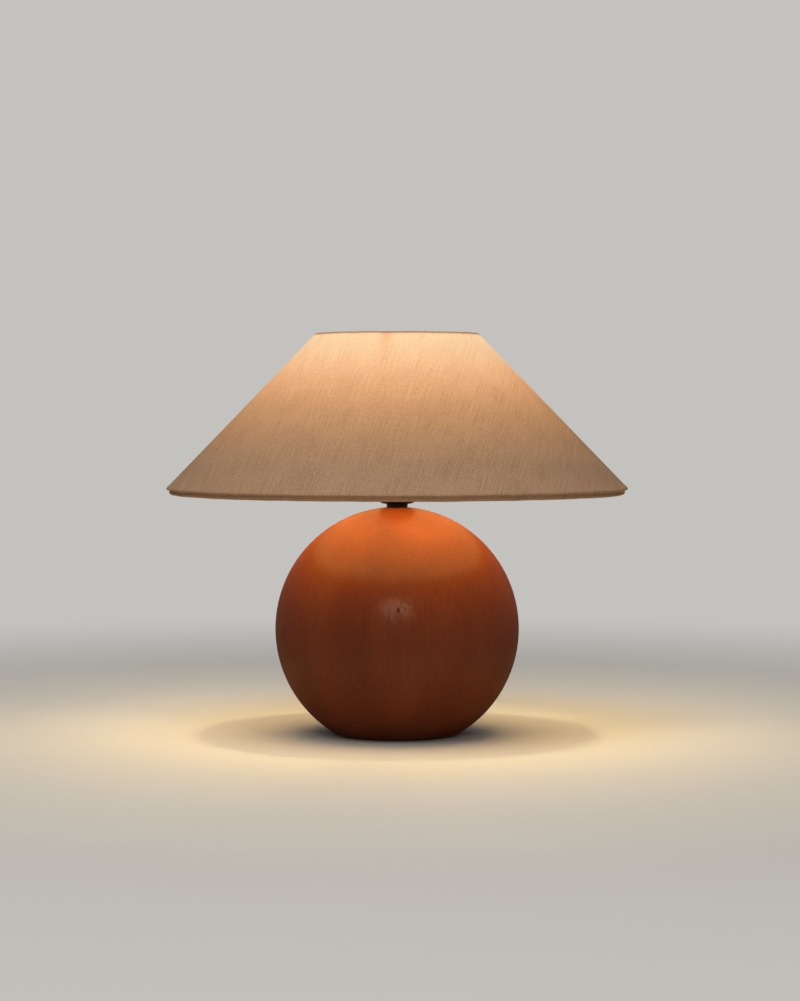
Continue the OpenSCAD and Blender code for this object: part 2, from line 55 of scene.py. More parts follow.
# Camera at the photograph's viewing angle
photoCamera = {
    "lens": 93.5,
    "sensor": 36.0,
    "place": (0.0028, -2.538, 0.318),
    "pitchDown": 2.015,  # degrees below level
}


def makeCamera(look):
    data = bpy.data.cameras.new("photoCamera")
    data.lens = look["lens"]
    data.sensor_width = look["sensor"]
    camera = bpy.data.objects.new("photoCamera", data)
    camera.location = look["place"]
    camera.rotation_euler = (math.radians(90 - look["pitchDown"]), 0, 0)
    bpy.context.collection.objects.link(camera)
    bpy.context.scene.camera = camera


# Small helpers for node trees
noiseSpan = (0.35, 0.65)  # most of a noise lies between these
wideSpan = (0.3, 0.7)  # and nearly all of it between these


def addNode(tree, kind, inputs=None, **settings):
    made = tree.nodes.new(kind)
    for name, value in settings.items():
        setattr(made, name, value)
    for name, value in (inputs or {}).items():
        socket = made.inputs[name]
        if isinstance(value, bpy.types.NodeSocket):
            tree.links.new(value, socket)
        elif socket.type == "RGBA" and len(value) == 3:
            socket.default_value = (*value, 1.0)
        else:
            socket.default_value = value
    return made


def calc(tree, operation, first, second=0.0):
    return addNode(tree, "ShaderNodeMath", {0: first, 1: second}, operation=operation).outputs[0]


def remap(tree, value, fromLow, fromHigh, toLow=0.0, toHigh=1.0):
    ends = {"Value": value, "From Min": fromLow, "From Max": fromHigh, "To Min": toLow, "To Max": toHigh}
    return addNode(tree, "ShaderNodeMapRange", ends).outputs[0]


def blendTones(tree, share, first, second):
    sockets = {0: share, 6: first, 7: second}  # 6 and 7 are the colours of a Mix node
    return addNode(tree, "ShaderNodeMix", sockets, data_type="RGBA").outputs[2]


# Three tones, dark to pale, where the share passes the three marks of the span
def threeTones(tree, share, span, dark, middle, pale):
    low = blendTones(tree, remap(tree, share, span[0], span[1]), dark, middle)
    return blendTones(tree, remap(tree, share, span[1], span[2]), low, pale)


def middleOf(tree, first, second):
    return calc(tree, "MULTIPLY", calc(tree, "ADD", first, second), 0.5)


# Sum of the named parts, each times its own share
def weighted(tree, parts, shares):
    total = None
    for name, share in shares.items():
        part = calc(tree, "MULTIPLY", parts[name], share)
        total = part if total is None else calc(tree, "ADD", total, part)
    return total


def stretchedNoise(tree, place, scales, detail=2.0, shift=(0, 0, 0)):
    spread = addNode(tree, "ShaderNodeMapping", {"Vector": place, "Location": shift, "Scale": scales})
    inputs = {"Vector": spread.outputs[0], "Scale": 1.0, "Detail": detail}
    return addNode(tree, "ShaderNodeTexNoise", inputs).outputs[0]


# One noise for each row of scales, detail and shift
def noiseParts(tree, place, noises):
    return {name: stretchedNoise(tree, place, *noise) for name, noise in noises.items()}


def newFinish(name):
    material = bpy.data.materials.new(name)
    material.use_nodes = True
    tree = material.node_tree
    tree.nodes.clear()
    shader = tree.nodes.new("ShaderNodeBsdfPrincipled")
    output = tree.nodes.new("ShaderNodeOutputMaterial")
    tree.links.new(shader.outputs[0], output.inputs["Surface"])
    return material, tree, shader


def objectPlace(tree):
    return addNode(tree, "ShaderNodeTexCoord").outputs["Object"]


def roughen(tree, shader, height, distance, strength=1.0):
    inputs = {"Height": height, "Distance": distance, "Strength": strength}
    bump = addNode(tree, "ShaderNodeBump", inputs)
    tree.links.new(bump.outputs[0], shader.inputs["Normal"])
    tree.links.new(bump.outputs[0], shader.inputs["Coat Normal"])


# Studio: a pale floor that fades into its surroundings, and three soft lights
studio = {
    "floorTone": (0.52, 0.51, 0.488),
    "floorShade": 0.97,  # of the tone, in the floor's darker clouds
    "floorCloud": 3.0,
    "floorRoughness": 0.9,
    "floorSpecular": 0.2,
    "skyTone": (0.55, 0.54, 0.517),
    "skyLight": 0.33,  # share of the sky's tone that lights the lamp
    "floorRadius": 9.0,
    "fade": (0.5, 1.5),  # distances from the lamp
    "steps": 96,
    "softboxes": {
        "keySoftbox": {"place": (-0.35, -1.35, 2.6), "size": (1.6, 1.6), "power": 45.0,
                       "tone": (1.0, 1.0, 1.0), "gloss": False},
        "frontSoftbox": {"place": (-0.06, -2.6, 1.20), "size": (1.0, 0.22), "power": 12.5,
                         "tone": (1.0, 0.84, 0.66), "gloss": True},
        "topSoftbox": {"place": (0.2, 1.5, 2.8), "size": (2.6, 2.2), "power": 21.0,
                       "tone": (1.0, 1.0, 1.0), "gloss": False},
    },
    "aim": (0.0, 0.0, 0.2),
}


def skyStrength(tree, look):
    path = addNode(tree, "ShaderNodeLightPath").outputs
    seen = calc(tree, "MAXIMUM", path["Is Camera Ray"], path["Is Glossy Ray"])
    seen = calc(tree, "MAXIMUM", seen, path["Is Transmission Ray"])
    return remap(tree, seen, 0.0, 1.0, look["skyLight"], 1.0)


def floorFinish(look):
    material, tree, shader = newFinish("paleFloor")
    place = objectPlace(tree)
    cloud = stretchedNoise(tree, place, [look["floorCloud"]] * 3, detail=4.0)
    darker = tuple(look["floorShade"] * channel for channel in look["floorTone"])
    tree.links.new(blendTones(tree, cloud, darker, look["floorTone"]), shader.inputs["Base Color"])
    shader.inputs["Roughness"].default_value = look["floorRoughness"]
    shader.inputs["Specular IOR Level"].default_value = look["floorSpecular"]
    away = addNode(tree, "ShaderNodeVectorMath", {0: place}, operation="LENGTH").outputs["Value"]
    ends = {"Value": away, "From Min": look["fade"][0], "From Max": look["fade"][1]}
    fade = addNode(tree, "ShaderNodeMapRange", ends, interpolation_type="SMOOTHSTEP").outputs[0]
    light = {"Color": look["skyTone"], "Strength": skyStrength(tree, look)}
    sky = addNode(tree, "ShaderNodeEmission", light)
    mixed = addNode(tree, "ShaderNodeMixShader", {0: fade, 1: shader.outputs[0], 2: sky.outputs[0]})
    tree.links.new(mixed.outputs[0], tree.nodes["Material Output"].inputs["Surface"])
    return material


def makeFloor(look):
    outline = [(0.0, 0.0), (look["fade"][0], 0.0), (look["floorRadius"], 0.0)]
    floor = bpy.data.objects.new("studioFloor", turnedMesh("studioFloor", outline, look["steps"], False))
    if floor.data.polygons[0].normal.z < 0:
        floor.data.flip_normals()
    floor.data.materials.append(floorFinish(look))
    bpy.context.collection.objects.link(floor)


def makeSoftboxes(look):
    for name, box in look["softboxes"].items():
        light = bpy.data.lights.new(name, "AREA")
        light.shape = "RECTANGLE"
        light.size, light.size_y = box["size"]
        light.energy = box["power"]
        light.color = box["tone"]
        lamp = bpy.data.objects.new(name, light)
        lamp.location = box["place"]
        lamp.rotation_euler = (Vector(look["aim"]) - lamp.location).to_track_quat("-Z", "Y").to_euler()
        lamp.visible_camera = False
        lamp.visible_glossy = box["gloss"]
        bpy.context.collection.objects.link(lamp)


def makeSky(look):
    world = bpy.data.worlds.new("paleSky")
    world.use_nodes = True
    tree = world.node_tree
    tree.nodes.clear()
    light = {"Color": look["skyTone"], "Strength": skyStrength(tree, look)}
    sky = addNode(tree, "ShaderNodeBackground", light)
    output = tree.nodes.new("ShaderNodeOutputWorld")
    tree.links.new(sky.outputs[0], output.inputs["Surface"])
    bpy.context.scene.world = world


# Mesh helpers
def arcPoints(centre, radius, fromDegrees, toDegrees, count):
    turns = np.radians(np.linspace(fromDegrees, toDegrees, count))
    return [(centre[0] + radius * math.cos(a), centre[1] + radius * math.sin(a)) for a in turns]


def turnedMesh(name, outline, steps, closed=True):
    made = bmesh.new()
    turns = [2 * math.pi * i / steps for i in range(steps)]
    rings = [[made.verts.new((r * math.cos(a), r * math.sin(a), z)) for r, z in outline] for a in turns]
    last = len(outline) if closed else len(outline) - 1
    for ring, following in zip(rings, rings[1:] + rings[:1]):
        for k in range(last):
            up = (k + 1) % len(outline)
            made.faces.new((ring[k], following[k], following[up], ring[up]))
    bmesh.ops.remove_doubles(made, verts=made.verts, dist=samePlace)
    bmesh.ops.recalc_face_normals(made, faces=made.faces)
    mesh = bpy.data.meshes.new(name)
    made.to_mesh(mesh)
    made.free()
    smoothFaces(mesh)
    return mesh


def smoothFaces(mesh, sharpFrom=35):  # degrees between faces that stay sharp
    mesh.shade_smooth()
    mesh.set_sharp_from_angle(angle=math.radians(sharpFrom))


def addPiece(mesh, material, body, slot, *replaced):
    piece = bpy.data.objects.new(mesh.name, mesh)
    mesh.materials.clear()
    mesh.materials.append(material)
    bpy.context.collection.objects.link(piece)
    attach(piece, body)
    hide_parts(*replaced)
    return piece


def ringOf(node):
    low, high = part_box(node)
    wire = (high.z - low.z) / 2
    return np.array((high.x - wire, (high.z + low.z) / 2)), wire


# A tree of Geometry Nodes whose named inputs carry the piece's sizes
def sizeTree(name, sizes):
    tree = bpy.data.node_groups.new(name, "GeometryNodeTree")
    kinds = {"int": "NodeSocketInt", "float": "NodeSocketFloat", "Material": "NodeSocketMaterial"}
    tree.interface.new_socket("Geometry", in_out="INPUT", socket_type="NodeSocketGeometry")
    for label, value in sizes.items():
        tree.interface.new_socket(label, in_out="INPUT", socket_type=kinds[type(value).__name__])
    tree.interface.new_socket("Geometry", in_out="OUTPUT", socket_type="NodeSocketGeometry")
    return tree, tree.nodes.new("NodeGroupInput").outputs


def grownMesh(tree, given, shape, start, sizes):
    smooth = addNode(tree, "GeometryNodeSetShadeSmooth", {"Geometry": shape}).outputs[0]
    real = addNode(tree, "GeometryNodeRealizeInstances", {"Geometry": smooth}).outputs[0]
    coated = addNode(tree, "GeometryNodeSetMaterial", {"Geometry": real, "Material": given["Material"]})
    tree.links.new(coated.outputs[0], tree.nodes.new("NodeGroupOutput").inputs[0])
    grower = bpy.data.objects.new(tree.name, start)
    bpy.context.collection.objects.link(grower)
    modifier = grower.modifiers.new(tree.name, "NODES")
    modifier.node_group = tree
    for socket in tree.interface.items_tree:
        if socket.in_out == "INPUT" and socket.name in sizes:
            modifier[socket.identifier] = sizes[socket.name]
    graph = bpy.context.evaluated_depsgraph_get()
    mesh = bpy.data.meshes.new_from_object(grower.evaluated_get(graph))
    grower.modifiers.clear()
    bpy.data.objects.remove(grower)
    bpy.data.meshes.remove(start)
    mesh.name = tree.name
    return mesh


# Plain finishes, one row of settings each: tones, gloss and grain, with the bump in millimetres
grainsPerCloud = 14
plainFinishes = {
    "black_plastic": {"tones": ((0.014, 0.014, 0.014), (0.028, 0.027, 0.026)), "rough": (0.48, 0.66),
                      "grain": 900, "bump": 0.04},
    "plated_steel": {"tones": ((0.50, 0.48, 0.43), (0.64, 0.62, 0.56)), "rough": (0.26, 0.42),
                     "grain": 500, "bump": 0.01, "metal": 1.0},
    "brass": {"tones": ((0.52, 0.33, 0.09), (0.68, 0.47, 0.16)), "rough": (0.24, 0.40),
              "grain": 420, "bump": 0.01, "metal": 1.0},
    "black_bakelite": {"tones": ((0.003, 0.003, 0.003), (0.008, 0.0075, 0.007)), "rough": (0.32, 0.48),
                       "grain": 650, "bump": 0.015, "specular": 0.1},
    "steatite": {"tones": ((0.58, 0.52, 0.43), (0.74, 0.69, 0.60)), "rough": (0.62, 0.82),
                 "grain": 1400, "bump": 0.03},
    "bulb_metal": {"tones": ((0.56, 0.56, 0.54), (0.68, 0.68, 0.66)), "rough": (0.22, 0.38),
                   "grain": 380, "bump": 0.01, "metal": 1.0},
    "black_glass": {"tones": ((0.008, 0.008, 0.010), (0.016, 0.016, 0.019)), "rough": (0.06, 0.16),
                    "grain": 300, "bump": 0.01},
    "clear_glass": {"tones": ((0.70, 0.75, 0.73), (0.82, 0.86, 0.84)), "rough": (0.04, 0.10),
                    "grain": 200, "bump": 0.01},
    "phosphor": {"tones": ((0.72, 0.42, 0.08), (0.86, 0.54, 0.13)), "rough": (0.6, 0.8),
                 "grain": 1800, "bump": 0.05},
    "white_wire": {"tones": ((0.64, 0.60, 0.51), (0.75, 0.72, 0.63)), "rough": (0.28, 0.42),
                   "grain": 260, "bump": 0.02},
    "shade_liner": {"tones": ((0.78, 0.71, 0.58), (0.86, 0.80, 0.68)), "rough": (0.55, 0.7),
                    "grain": 120, "bump": 0.02},
}


def plainFinish(name, look):
    material, tree, shader = newFinish(name)
    place = objectPlace(tree)
    grain = stretchedNoise(tree, place, [look["grain"]] * 3, detail=3.0)
    cloud = stretchedNoise(tree, place, [look["grain"] / grainsPerCloud] * 3, shift=(3, 1, 2))
    share = middleOf(tree, grain, cloud)
    tone = blendTones(tree, remap(tree, share, *noiseSpan), *look["tones"])
    tree.links.new(tone, shader.inputs["Base Color"])
    tree.links.new(remap(tree, share, *noiseSpan, *look["rough"]), shader.inputs["Roughness"])
    shader.inputs["Metallic"].default_value = look.get("metal", 0.0)
    shader.inputs["Specular IOR Level"].default_value = look.get("specular", 0.5)
    roughen(tree, shader, grain, look["bump"] * mm)
    return material


# Lacquered hardwood of the turned ball: upright fibres, growth rings, pores, one dark fleck and a painted
# highlight of pale dashes round it
lacqueredWood = {
    "darkTone": (0.090, 0.0186, 0.0050),
    "midTone": (0.124, 0.0268, 0.0072),
    "paleTone": (0.158, 0.0375, 0.0104),
    "toneSpan": (0.33, 0.50, 0.67),  # shares of the figure where the three tones lie
    "toneShares": {"figure": 0.52, "fibre": 0.26, "streak": 0.18, "rings": 0.04},
    # Scales per metre, detail and shift
    "noises": {
        "figure": ((18, 18, 5), 3.0),
        "fibre": ((820, 820, 70), 4.0),
        "streak": ((240, 240, 16), 3.0, (2, 5, 1)),
        "pore": ((900, 900, 70), 2.0),
        "paintedGlint": ((420, 420, 110), 2.0, (1, 4, 2)),
        "peel": ((430, 430, 260), 2.0, (6, 1, 3)),  # unevenness of the lacquer over the pores
    },
    "heart": (0.30, -0.04, 0.0),  # the tree's heart lay to the left, outside the ball
    "trunkStretch": (1, 1, 0.06),
    "rings": {"Scale": 62.0, "Distortion": 3.0, "Detail": 2.0, "Detail Scale": 1.2},
    "poreTone": (0.045, 0.0095, 0.0040),
    "poreSpan": (0.66, 0.76),
    "poreDepth": 0.20,
    "fleck": (0.0012, -0.1160, 0.1300),
    "fleckSize": (1.7 * mm, 6.0 * mm, 3.5 * mm),
    "fleckSpan": (0.0, 0.6),  # from its rim to where it is darkest
    "fleckDepth": 0.95,
    "paintedGlintSize": (24 * mm, 40 * mm, 16 * mm),  # of the painted highlight round the fleck: short pale dashes that stand for lit grain in the gloss
    "paintedGlintCore": 0.4,  # of its size, before it fades
    "paintedGlintSpan": (0.44, 0.60),
    "paintedGlintTone": (0.205, 0.066, 0.026),
    "paintedGlintDepth": 0.5,
    "roughness": (0.25, 0.36),
    "glossSpan": (0.35, 0.75),
    "glossShares": {"fibre": 0.7, "figure": 0.3, "pore": 0.4},
    "specular": 0.0,
    "coat": 0.10,
    "coatIor": 2.0,
    "coatRoughness": 0.28,
    "grainDepth": 0.045 * mm,
    "heightShares": {"fibre": 0.6, "peel": 0.9, "pore": -0.3, "fleck": -15.0},  # of the grain's depth
}


# 1 at the centre and over its core, 0 from the given size outwards
def nearPlace(tree, place, centre, size, core=0.0):
    offset = addNode(tree, "ShaderNodeVectorMath", {0: place, 1: centre}, operation="SUBTRACT").outputs[0]
    scaled = addNode(tree, "ShaderNodeVectorMath", {0: offset, 1: size}, operation="DIVIDE").outputs[0]
    away = addNode(tree, "ShaderNodeVectorMath", {0: scaled}, operation="LENGTH").outputs["Value"]
    return remap(tree, away, core, 1.0, 1.0, 0.0)


def growthRings(tree, place, look):
    spread = {"Vector": place, "Location": look["heart"], "Scale": look["trunkStretch"]}
    around = addNode(tree, "ShaderNodeMapping", spread).outputs[0]
    rings = addNode(tree, "ShaderNodeTexWave", {"Vector": around, **look["rings"]}, wave_type="RINGS",
                    rings_direction="Z", wave_profile="SAW")
    return rings.outputs["Fac"]


def woodFinish(name, look):
    material, tree, shader = newFinish(name)
    place = objectPlace(tree)
    parts = noiseParts(tree, place, look["noises"])
    parts["pore"] = remap(tree, parts["pore"], *look["poreSpan"])
    parts["rings"] = growthRings(tree, place, look)
    parts["fleck"] = nearPlace(tree, place, look["fleck"], look["fleckSize"])
    share = weighted(tree, parts, look["toneShares"])
    tone = threeTones(tree, share, look["toneSpan"], look["darkTone"], look["midTone"], look["paleTone"])
    tone = blendTones(tree, calc(tree, "MULTIPLY", parts["pore"], look["poreDepth"]), tone, look["poreTone"])
    # Painted highlight: pale dashes mixed into the wood's tone round the fleck, where the gloss breaks up on
    # the grain
    paintedGlint = nearPlace(tree, place, look["fleck"], look["paintedGlintSize"], look["paintedGlintCore"])
    paintedGlint = calc(tree, "MULTIPLY", paintedGlint, remap(tree, parts["paintedGlint"], *look["paintedGlintSpan"]))
    tone = blendTones(tree, calc(tree, "MULTIPLY", paintedGlint, look["paintedGlintDepth"]), tone, look["paintedGlintTone"])
    mark = remap(tree, parts["fleck"], *look["fleckSpan"], 0.0, look["fleckDepth"])
    tone = blendTones(tree, mark, tone, look["poreTone"])
    tree.links.new(tone, shader.inputs["Base Color"])
    gloss = weighted(tree, parts, look["glossShares"])
    gloss = remap(tree, gloss, *look["glossSpan"], *look["roughness"])
    tree.links.new(gloss, shader.inputs["Roughness"])
    shader.inputs["Specular IOR Level"].default_value = look["specular"]
    shader.inputs["Coat Weight"].default_value = look["coat"]
    shader.inputs["Coat Roughness"].default_value = look["coatRoughness"]
    shader.inputs["Coat IOR"].default_value = look["coatIor"]
    roughen(tree, shader, weighted(tree, parts, look["heightShares"]), look["grainDepth"])
    return material


# Linen cone of the shade: it turns in under the liner's edge and is rolled round each wire
linenShade = {
    "cloth": 0.9 * mm,
    "stepsAround": 288,
    "rowsUp": 44,
    "edgeRows": (0.6, 1.3, 2.2, 3.3, 4.6, 6.2, 8.2, 11.0),  # mm from the wall's edge, closer near it
    "sharpFrom": 50,  # degrees
    "rollFrom": 430,  # degrees where the tucked end lies, against the liner
    "rollTo": 152,  # degrees where the roll leaves the wire for the wall's edge
    "rollSteps": 34,
    "grooveDepth": 2.0 * mm,  # between the wall's edge and the rolled hem
    "grooveBelow": 0.8,  # of that depth, where the groove meets the wall's edge
    "grooveReach": (0.7 * mm, -1.2 * mm),  # sideways pull of its curve, at the roll and at the wall
    "grooveSteps": 12,
    "edgeBend": 0.6 * mm,
    "edgeSteps": 7,
    "edgeRidge": 0.30 * mm,
    "ridgeFrom": 2.6 * mm,
    "ridgeWidth": 1.6 * mm,
    "ridgeUneven": 0.5,
    "ridgeLobes": ((5, 11, 19, 31, 47), 4),  # waves round the shade, and the seed of their phases
    "waver": 0.32 * mm,
    "waverOut": 0.4,  # of the waver, towards the outside
    "waverLobes": ((3, 7, 13, 23, 41), 9),
    "waverFade": 7 * mm,
    "clothLean": 14.0,  # degrees that the threads lean at the front
    "spokeShade": 0.58,
    "spokeShadeWidth": 6.0 * mm,
    "spokeShadeLength": 22 * mm,
    "glowFloor": 9.0,  # light that the dimmest part gets, as cosine over distance squared
    "glowFull": 100.0,
    "glowMost": 1.2,
    "glowEdge": (2.0 * mm, 4.4 * mm),  # from the upper edge: dark on the hem, then lit
    "seamWidth": 10 * mm,
    "seamThickness": 0.5 * mm,
    # Shares of half the seam's width and of its thickness
    "seamOutline": ((-1, 0), (-0.94, 0.7), (-0.84, 1), (0, 1), (0.84, 1), (0.94, 0.7), (1, 0), (0, -0.1)),
    "seamSteps": 60,
    "seamGlow": 0.55,
    "seamCloth": 0.1,  # where the seam's strip lies on its own cloth
    "threadPitch": 0.58 * mm,
    "yarnWander": 1.6,
    "crossing": (-0.25, 0.25),  # where one thread passes over the other
    # Scales per metre of flat cloth, detail and shift
    "noises": {
        "warp": ((1150, 24, 1), 2.0),
        "weft": ((26, 1050, 1), 2.0, (7, 3, 0)),
        "fine": ((2300, 2300, 1), 2.0, (1, 9, 0)),
        "cloud": ((30, 30, 1), 3.0, (5, 5, 0)),
        "speck": ((560, 420, 1), 2.0, (2, 6, 0)),
        "slub": ((640, 96, 1), 1.0, (4, 2, 0)),
        "stray": ((150, 150, 1), 2.0, (8, 1, 0)),
    },
    "threadShares": {"warp": 0.30, "weft": 0.12, "fine": 0.16, "speck": 0.26, "cloud": 0.10, "weave": 0.06},
    "threadSpan": (0.42, 0.50, 0.58),
    "tone": (0.372, 0.226, 0.136),
    "paleThread": (0.430, 0.270, 0.166),
    "darkThread": (0.305, 0.178, 0.104),
    "slubTone": (0.215, 0.118, 0.066),
    "slubSpan": (0.68, 0.78),
    "slubDepth": 0.45,
    "roughness": (0.80, 0.95),
    "sheen": 0.02,
    "sheenRoughness": 0.5,
    "specular": 0.0,
    "weaveDepth": 0.22 * mm,
    "weaveStrength": 0.8,
    "heightShares": {"weave": 0.30, "fine": 0.25, "speck": 0.35, "slub": 0.5},
    "thinness": (0.86, 1.10),  # light let through by dark and by pale threads
    "slubStops": 0.20,  # of the light
    "glowShare": 0.88,
    "glowTones": ((0.0, (0.0, 0.0, 0.0)), (0.10, (0.165, 0.064, 0.012)), (0.32, (0.455, 0.197, 0.073)),
                  (0.53, (0.60, 0.315, 0.150)), (0.80, (0.64, 0.425, 0.232)), (1.0, (0.68, 0.50, 0.29))),
}


def shadeFrame(look):
    low = ringOf("bottom_ring")[0]
    high, wire = ringOf("top_ring")
    length = np.linalg.norm(high - low)
    up = (high - low) / length
    out = np.array((up[1], -up[0]))
    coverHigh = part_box("shade_cover")[1]
    # The wall's two edges give the cover its widest and its highest point
    sides = np.array(((-up[0], out[0]), (up[1], out[1])))
    past, depth = np.linalg.solve(sides, (coverHigh.x - low[0], coverHigh.z - high[1]))
    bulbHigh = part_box("bulb_glass")[1]
    return {
        "low": low, "up": up, "out": out, "length": length, "past": past, "depth": depth,
        "wire": wire, "cloth": look["cloth"], "bulb": bulbHigh.z - bulbHigh.x,
    }


def curvePoints(start, first, second, end, count):
    return [(1 - t) ** 3 * start + 3 * t * (1 - t) ** 2 * first + 3 * t * t * (1 - t) * second + t ** 3 * end
            for t in np.linspace(0, 1, count)]


# Middle of the cloth, in steps up the slant and outwards from the lower wire
def clothPath(look, shade):
    bend = shade["wire"] + shade["cloth"] / 2
    middle = shade["depth"] - shade["cloth"] / 2
    edge = -shade["past"] + shade["cloth"] / 2
    corner = look["edgeBend"]
    roll = arcPoints((0, 0), bend, look["rollFrom"], look["rollTo"], look["rollSteps"])
    start = np.array(roll[-1])
    end = np.array((edge, middle - corner))
    fromRoll = start + (look["grooveDepth"], look["grooveReach"][0])
    toWall = end + (look["grooveBelow"] * look["grooveDepth"], look["grooveReach"][1])
    groove = curvePoints(start, fromRoll, toWall, end, look["grooveSteps"])
    hem = roll + [tuple(point) for point in groove[1:]]
    hem += arcPoints((edge + corner, middle - corner), corner, 180, 90, look["edgeSteps"])[1:]
    near = edge + corner + np.array(look["edgeRows"]) * mm
    far = shade["length"] - near[::-1]
    wall = np.concatenate((near, np.linspace(near[-1], far[0], look["rowsUp"])[1:-1], far))
    top = [(shade["length"] - s, n) for s, n in hem[::-1]]
    return np.array(hem + [(s, middle) for s in wall] + top), len(hem), len(wall)


def gentleWaver(turns, lobes, seed):
    draw = np.random.default_rng(seed)
    phases = draw.uniform(0, 2 * math.pi, len(lobes))
    return sum(np.sin(n * turns + p) for n, p in zip(lobes, phases)) / len(lobes)


def spokeAngles(look):
    first = look["front"] - look["turn"]
    return [math.radians(first + i * 360 / look["spokes"]) for i in range(look["spokes"])]


# Painted light: the bulb's glow through the cloth, as cosine over distance squared, with a painted shadow of
# the wire along the upper edge and painted shadows of the spokes; the cloth shows it as emission
def shadeGlow(look, shade, slant, turns):
    place = shade["low"] + slant[:, None] * shade["up"] + shade["depth"] * shade["out"]
    fromBulb = place - np.array((0.0, shade["bulb"]))
    light = (fromBulb @ shade["out"]) / np.linalg.norm(fromBulb, axis=1) ** 3
    light = np.clip((light - look["glowFloor"]) / (look["glowFull"] - look["glowFloor"]), 0, look["glowMost"])
    below = shade["length"] + shade["past"] - slant
    dark, lit = look["glowEdge"]
    light *= np.clip((below - dark) / (lit - dark), 0, 1)
    shadow = np.zeros((len(turns), len(slant)))
    for azimuth in spokeAngles(wireSpider):
        apart = np.sin((turns - azimuth) / 2)[:, None] * 2 * place[:, 0]
        shadow += np.exp(-(apart / look["spokeShadeWidth"]) ** 2)
    fade = np.exp(-below / look["spokeShadeLength"])
    return light * (1 - look["spokeShade"] * shadow * fade)


def clothLengths(path):
    return np.concatenate(([0], np.cumsum(np.linalg.norm(np.diff(path, axis=0), axis=1))))


# Outline of the cloth, turned round the axis, with hems that are a little uneven
def coverPoints(look, shade, loop, fabric, turns):
    fromEdge = np.minimum(fabric, shade["length"] - fabric) + shade["past"]
    hemShare = np.where(fromEdge > 0, np.exp(-np.clip(fromEdge, 0, None) / look["waverFade"]), 1.0)
    ridge = look["edgeRidge"] * np.exp(-((fromEdge - look["ridgeFrom"]) / look["ridgeWidth"]) ** 2)
    lower = np.where(fabric < shade["length"] / 2, hemShare, -hemShare)
    uneven = gentleWaver(turns, *look["ridgeLobes"])
    waver = look["waver"] * gentleWaver(turns, *look["waverLobes"])
    points = []
    for a, deep, shift in zip(turns, uneven, waver):
        slid = loop[:, 0] + shift * lower
        moved = loop[:, 1] + (1 + look["ridgeUneven"] * deep) * ridge
        moved += look["waverOut"] * look["waver"] * deep * hemShare
        flat = shade["low"] + slid[:, None] * shade["up"] + moved[:, None] * shade["out"]
        points.append(np.stack((flat[:, 0] * math.cos(a), flat[:, 0] * math.sin(a), flat[:, 1]), axis=1))
    return np.concatenate(points)


def makeShadeCover(look, shade, material):
    path, firstWall, wallCount = clothPath(look, shade)
    along = np.gradient(path, axis=0)
    along /= np.linalg.norm(along, axis=1)[:, None]
    side = np.stack((-along[:, 1], along[:, 0]), axis=1)
    half = shade["cloth"] / 2
    loop = np.concatenate((path + half * side, (path - half * side)[::-1]))
    length = clothLengths(path)
    length -= length[firstWall] - path[firstWall, 0]
    fabric = np.concatenate((length, length[::-1]))
    steps = look["stepsAround"]
    turns = math.pi / 2 + np.arange(steps) * 2 * math.pi / steps  # from the seam at the back
    count = len(loop)
    k = np.arange(count)
    up = (k + 1) % count
    faces = []
    for c in range(steps):
        here, following = c * count, (c + 1) % steps * count
        faces += np.stack((here + k, following + k, following + up, here + up), axis=1).tolist()
    mesh = bpy.data.meshes.new("linenShade")
    mesh.from_pydata(coverPoints(look, shade, loop, fabric, turns).tolist(), [], faces)
    spread = -shade["up"][0]  # sine of the cone's half angle
    fromApex = (shade["low"] + shade["depth"] * shade["out"])[0] / spread - fabric
    corners = []
    for c in range(steps):
        for swing, row in ((c, k), (c + 1, k), (c + 1, up), (c, up)):
            corners.append(flatCloth(look, spread, fromApex[row], swing * 2 * math.pi / steps - math.pi))
    corners = np.array(corners).reshape(steps, 4, count, 2).transpose(0, 2, 1, 3)
    layer = mesh.uv_layers.new(name="flatCloth")
    layer.data.foreach_set("uv", corners.astype(np.float32).ravel())
    glow = np.zeros((steps, count), np.float32)
    outer = slice(firstWall, firstWall + wallCount)
    glow[:, outer] = shadeGlow(look, shade, path[outer, 0], turns)
    mesh.attributes.new("bulbGlow", "FLOAT", "POINT").data.foreach_set("value", glow.ravel())
    smoothFaces(mesh, look["sharpFrom"])
    piece = addPiece(mesh, material, "shade", "linen", "shade_cover")
    return piece, *flatMeasures(spread, fromApex)


# Width, height and area of the ring sector that the cone is cut from
def flatMeasures(spread, fromApex):
    halfTurn = math.pi * spread
    width = 2 * fromApex.max()
    height = fromApex.max() * (1 - math.cos(halfTurn))
    area = halfTurn * (fromApex.max() ** 2 - fromApex.min() ** 2)
    return (width, height), area


def flatCloth(look, spread, fromApex, turn):
    swing = turn * spread + math.radians(look["clothLean"])
    return np.stack((fromApex * math.sin(swing), -fromApex * math.cos(swing)), axis=1)


